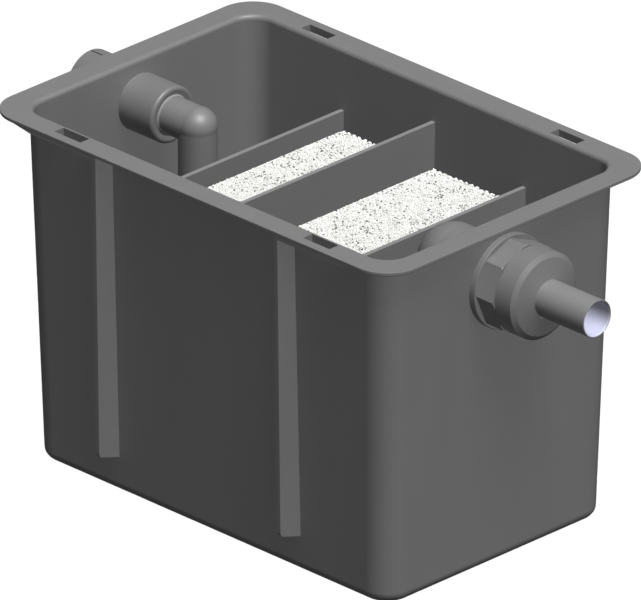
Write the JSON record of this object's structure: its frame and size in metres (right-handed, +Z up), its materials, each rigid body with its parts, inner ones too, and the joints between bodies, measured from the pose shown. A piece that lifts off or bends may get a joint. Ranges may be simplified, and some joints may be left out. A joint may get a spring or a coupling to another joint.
{
  "type": "condensate trap",
  "caption": "Open tub that neutralises boiler condensate: weir plates, granulate beds, a dip elbow at the inlet and a hose union at the outlet.",
  "frame": {"origin": "centre of the tub's flat underside", "axes": "+X from the inlet end to the outlet end, +Z up, +Y across the tub"},
  "size_m": [0.5646, 0.3, 0.304],
  "materials": {
    "tub_plastic": "moulded grey, satin",
    "plate_plastic": "grey sheet, satin",
    "fitting_plastic": "moulded grey, satin with a soft sheen",
    "pipe_plastic": "extruded grey, satin",
    "spigot_plastic": "light grey, satin",
    "seal_rubber": "grey, matte",
    "granulate": "white mineral granules with grey specks, matte"
  },
  "bodies": {
    "vessel": {"tub": "tub_plastic", "weir_plate_inlet": "plate_plastic", "baffle_plate": "plate_plastic", "weir_plate_outlet": "plate_plastic", "granulate_bed_first": "granulate", "granulate_bed_second": "granulate", "inlet_socket": "fitting_plastic", "inlet_gasket": "seal_rubber", "inlet_sleeve": "fitting_plastic", "inlet_seal_inner": "seal_rubber", "inlet_seal_outer": "seal_rubber", "outlet_dip_elbow": "pipe_plastic", "outlet_gasket": "seal_rubber", "outlet_locknut": "fitting_plastic"},
    "dip_elbow": {"inlet_dip_elbow": "pipe_plastic"},
    "spigot": {"outlet_spigot": "spigot_plastic", "outlet_union_seal": "seal_rubber"},
    "union_nut": {"outlet_union_nut": "fitting_plastic"}
  },
  "joints": [
    {"name": "inlet_elbow_swivel", "type": "hinge", "parent": "vessel", "child": "dip_elbow", "pos_m": [-0.17, 0, 0.2676], "axis": [1, 0, 0], "range_deg": [-25, 25]},
    {"name": "spigot_travel", "type": "slide", "parent": "vessel", "child": "spigot", "axis": [1, 0, 0], "range_m": [0, 0.0082]},
    {"name": "union_nut_turn", "type": "hinge", "parent": "spigot", "child": "union_nut", "pos_m": [0.24, 0, 0.2477], "axis": [1, 0, 0], "range_deg": [0, 1260]}
  ],
  "couplings": [
    {"joint": "spigot_travel", "follows": "union_nut_turn", "m_per_rad": 0.0003675}
  ]
}
